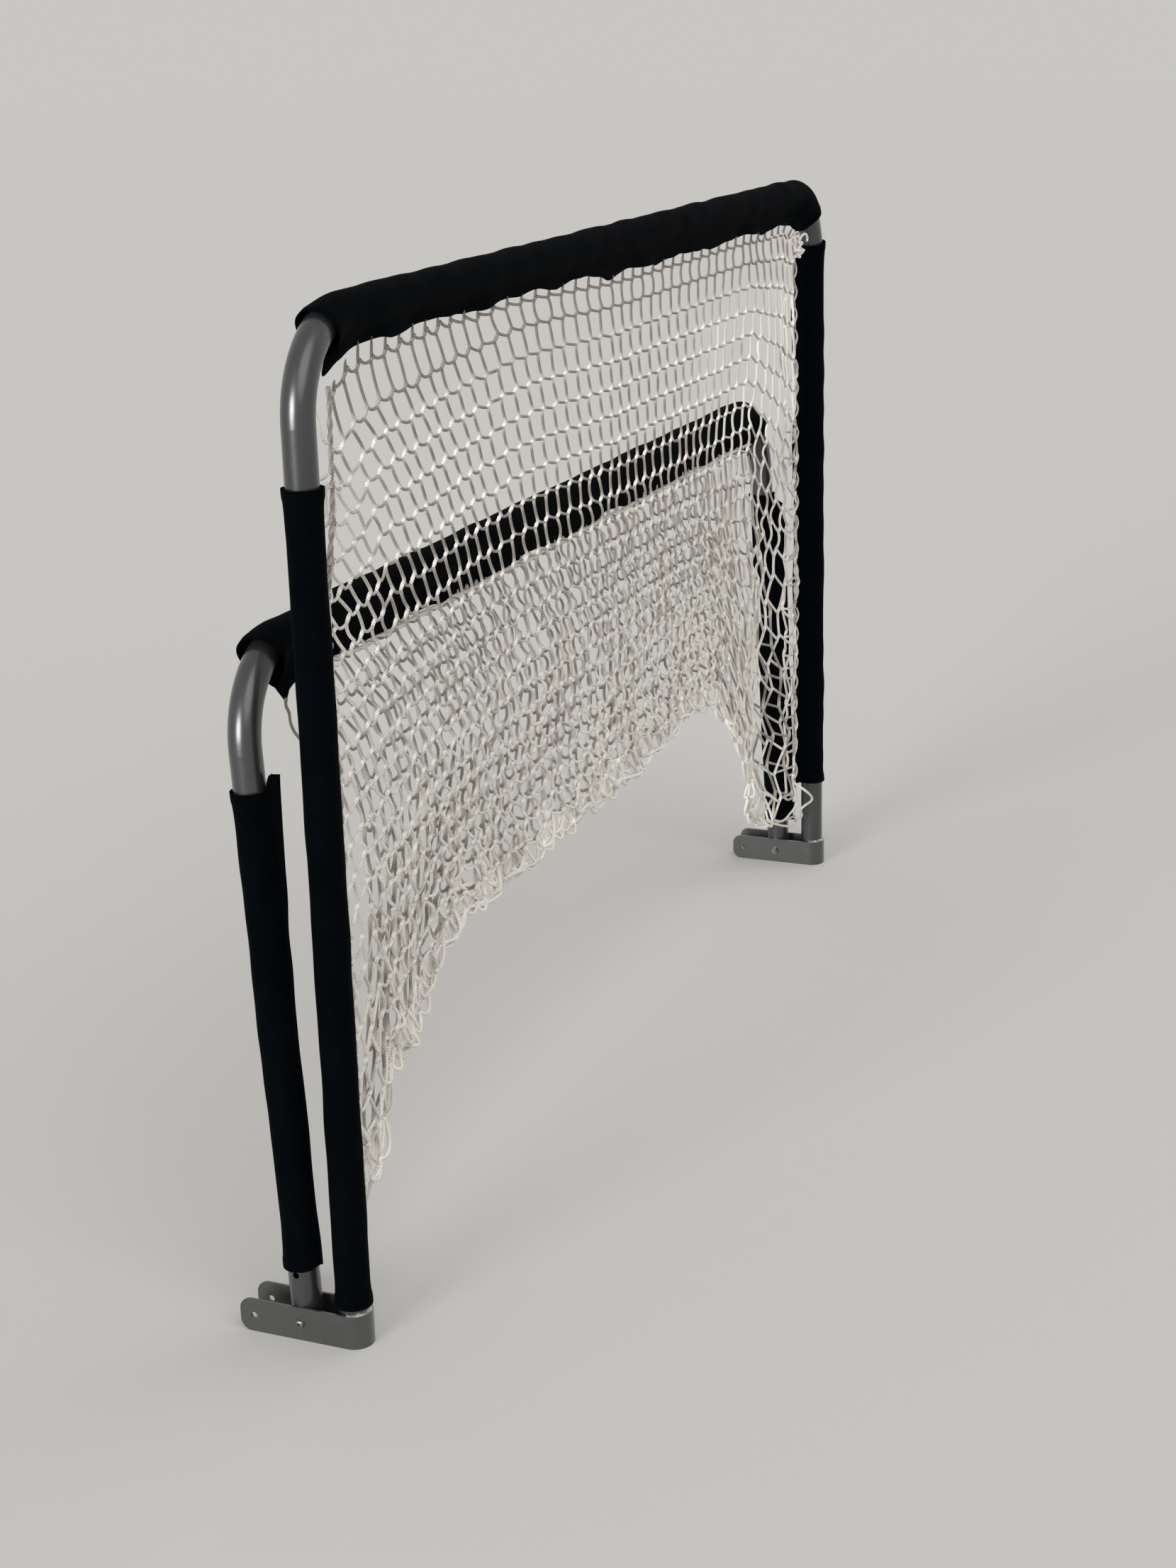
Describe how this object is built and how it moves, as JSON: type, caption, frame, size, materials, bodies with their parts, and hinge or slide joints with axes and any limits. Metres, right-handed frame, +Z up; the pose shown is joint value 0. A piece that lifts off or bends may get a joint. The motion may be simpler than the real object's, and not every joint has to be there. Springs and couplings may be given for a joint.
{
  "type": "hockey goal net",
  "caption": "Folding street hockey goal: upright tube frame, pivoted rear frame folded up behind it, cloth tube sleeves and a square-mesh cord net.",
  "frame": {"origin": "on the floor, at the middle of the folded goal's footprint", "axes": "+X runs across the goal along the crossbar, -Y is the side the mouth faces, +Z is up"},
  "size_m": [1.843, 0.166, 1.2214],
  "materials": {
    "painted_tube": "silver-grey metallic paint, semi-gloss",
    "bracket_strap": "silver-grey metallic paint, dulled",
    "weld_bead": "bright uneven bead under thin paint",
    "zinc_hardware": "zinc plated",
    "sleeve_cloth": "black woven polyester, matte",
    "net_cord": "off-white laid cord, knotted at each crossing"
  },
  "bodies": {
    "front_frame": {"front_left_tube": "painted_tube", "left_hinge_bracket": "bracket_strap", "left_bracket_weld": "weld_bead", "left_pivot_bolt": "zinc_hardware", "left_pivot_nut": "zinc_hardware", "front_left_sleeve": "sleeve_cloth", "net_left_side": "net_cord", "net_left_edge_cord": "net_cord", "front_right_tube": "painted_tube", "right_hinge_bracket": "bracket_strap", "right_bracket_weld": "weld_bead", "right_pivot_bolt": "zinc_hardware", "right_pivot_nut": "zinc_hardware", "front_right_sleeve": "sleeve_cloth", "net_right_side": "net_cord", "net_right_edge_cord": "net_cord", "front_bar_sleeve": "sleeve_cloth", "net_front_fall": "net_cord"},
    "rear_frame": {"rear_left_tube": "painted_tube", "rear_left_sleeve": "sleeve_cloth", "rear_right_tube": "painted_tube", "rear_right_sleeve": "sleeve_cloth", "rear_bar_sleeve": "sleeve_cloth", "net_rear_rise": "net_cord"}
  },
  "joints": [
    {"name": "rear_frame_fold", "type": "hinge", "parent": "front_frame", "child": "rear_frame", "pos_m": [0, 0.00232, 0.0215], "axis": [-1, 0, 0], "range_deg": [-2, 87.5], "deforming": ["net_front_fall", "net_rear_rise", "net_left_side", "net_right_side", "net_left_edge_cord", "net_right_edge_cord", "rear_left_sleeve", "rear_right_sleeve"]}
  ]
}
